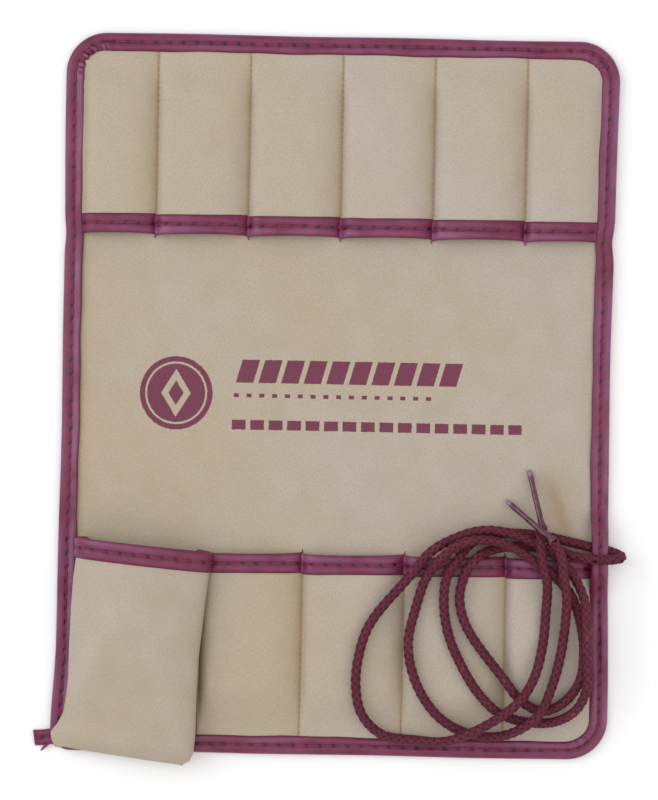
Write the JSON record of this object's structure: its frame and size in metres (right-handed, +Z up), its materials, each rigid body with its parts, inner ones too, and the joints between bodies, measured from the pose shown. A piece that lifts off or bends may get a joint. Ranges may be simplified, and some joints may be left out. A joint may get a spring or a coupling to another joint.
{
  "type": "carving tool roll",
  "caption": "Flat cloth tool roll with rows of sewn blade pockets at two edges, a puffed handle pocket in one corner, taped edges, and a braided tie lace threaded through one side.",
  "frame": {"origin": "middle of the open roll's bounding box, on the surface it lies on", "axes": "+X across the roll from the handle pocket to the tie lace, +Y from the handle pocket up to the far edge, +Z up, out of the pocket side"},
  "size_m": [0.2286, 0.2846, 0.0212],
  "materials": {
    "roll_cloth": "brushed vinyl cloth, matt, fine grained",
    "binding_tape": "smooth plum tape with a soft gloss",
    "lace_braid": "dark maroon round braid",
    "aglet_plastic": "plum braid under a clear glossy film",
    "print_ink": "thin plum ink on the cloth",
    "thread": "dark plum sewing thread"
  },
  "bodies": {
    "base": {"panel_base": "roll_cloth", "edge_binding_base": "binding_tape", "upper_pocket_4": "roll_cloth", "upper_pocket_5": "roll_cloth", "upper_pocket_6": "roll_cloth", "lower_pocket_2_base": "roll_cloth", "lower_pocket_3": "roll_cloth", "lower_pocket_4": "roll_cloth", "upper_mouth_binding_base": "binding_tape", "lower_mouth_binding_base": "binding_tape", "lace_loop": "lace_braid", "lace_first": "lace_braid", "lace_second": "lace_braid", "aglet_first": "aglet_plastic", "aglet_second": "aglet_plastic"},
    "inner_leaf": {"panel_inner": "roll_cloth", "edge_binding_inner_top": "binding_tape", "edge_binding_inner_bottom": "binding_tape", "upper_pocket_3_inner": "roll_cloth", "lower_pocket_1_inner": "roll_cloth", "lower_pocket_2_inner": "roll_cloth", "upper_mouth_binding_inner": "binding_tape", "lower_mouth_binding_inner": "binding_tape"},
    "middle_leaf": {"panel_middle": "roll_cloth", "edge_binding_middle_top": "binding_tape", "edge_binding_middle_bottom": "binding_tape", "upper_pocket_2_middle": "roll_cloth", "upper_pocket_3_middle": "roll_cloth", "lower_pocket_1_middle": "roll_cloth", "upper_mouth_binding_middle": "binding_tape", "lower_mouth_binding_middle": "binding_tape"},
    "handle_leaf": {"panel_handle": "roll_cloth", "edge_binding_handle": "binding_tape", "upper_pocket_1": "roll_cloth", "upper_pocket_2_handle": "roll_cloth", "lower_pocket_1_handle": "roll_cloth", "handle_pocket": "roll_cloth", "handle_mouth_binding": "binding_tape", "upper_mouth_binding_handle": "binding_tape", "lower_mouth_binding_handle": "binding_tape"}
  },
  "joints": [
    {"name": "fold_inner", "type": "hinge", "parent": "base", "child": "inner_leaf", "pos_m": [0.0037, 0, 0.002], "axis": [0, 1, 0], "range_deg": [0, 50]},
    {"name": "fold_middle", "type": "hinge", "parent": "inner_leaf", "child": "middle_leaf", "pos_m": [-0.0173, 0, 0.002], "axis": [0, 1, 0], "range_deg": [0, 50]},
    {"name": "fold_handle", "type": "hinge", "parent": "middle_leaf", "child": "handle_leaf", "pos_m": [-0.0383, 0, 0.002], "axis": [0, 1, 0], "range_deg": [0, 50]}
  ]
}
